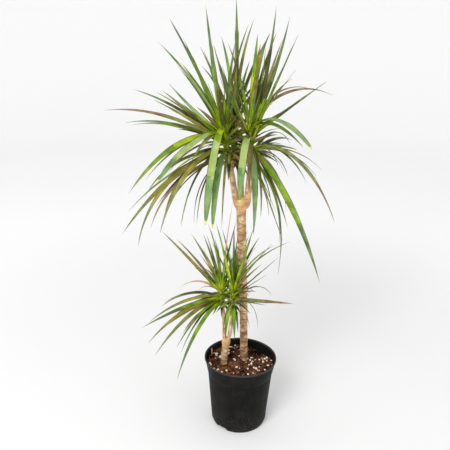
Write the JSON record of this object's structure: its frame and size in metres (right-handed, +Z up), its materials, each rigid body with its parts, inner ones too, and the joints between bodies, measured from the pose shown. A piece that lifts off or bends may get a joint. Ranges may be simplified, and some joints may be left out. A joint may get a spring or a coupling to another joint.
{
  "type": "potted madagascar dragon tree",
  "caption": "Potted dragon tree with a tall forked cane and a short one, heads of long narrow strap leaves, and a black nursery pot of soil.",
  "frame": {"origin": "middle of the pot's flat underside, where it stands on the floor", "axes": "+Z up the plant, -Y towards the front, +X to the right seen from the front"},
  "size_m": [0.6078, 0.716, 1.2272],
  "materials": {
    "pot_plastic": "matte black blow-moulded plastic with a little dust",
    "potting_soil": "dark brown peat and bark with crumbs of white perlite",
    "bark": "dry tan bark with leaf scars",
    "leaf": "satin green strap leaf with thin dark red edges"
  },
  "bodies": {
    "root": {"pot": "pot_plastic", "soil": "potting_soil", "cane_tall": "bark", "cane_short": "bark", "bough_left": "bark", "bough_right": "bark", "bough_back": "bark", "low_bough_left": "bark", "low_bough_right": "bark", "head_left_tuft": "leaf", "head_left_skirt_1": "leaf", "head_left_skirt_2": "leaf", "head_left_skirt_3": "leaf", "head_left_skirt_4": "leaf", "head_right_tuft": "leaf", "head_right_skirt_1": "leaf", "head_right_skirt_2": "leaf", "head_right_skirt_3": "leaf", "head_right_skirt_4": "leaf", "head_back_tuft": "leaf", "head_back_skirt_1": "leaf", "head_back_skirt_2": "leaf", "head_back_skirt_3": "leaf", "low_head_left_tuft": "leaf", "low_head_left_skirt_1": "leaf", "low_head_left_skirt_2": "leaf", "low_head_left_skirt_3": "leaf", "low_head_right_tuft": "leaf", "low_head_right_skirt_1": "leaf", "low_head_right_skirt_2": "leaf", "low_head_right_skirt_3": "leaf"}
  },
  "joints": []
}
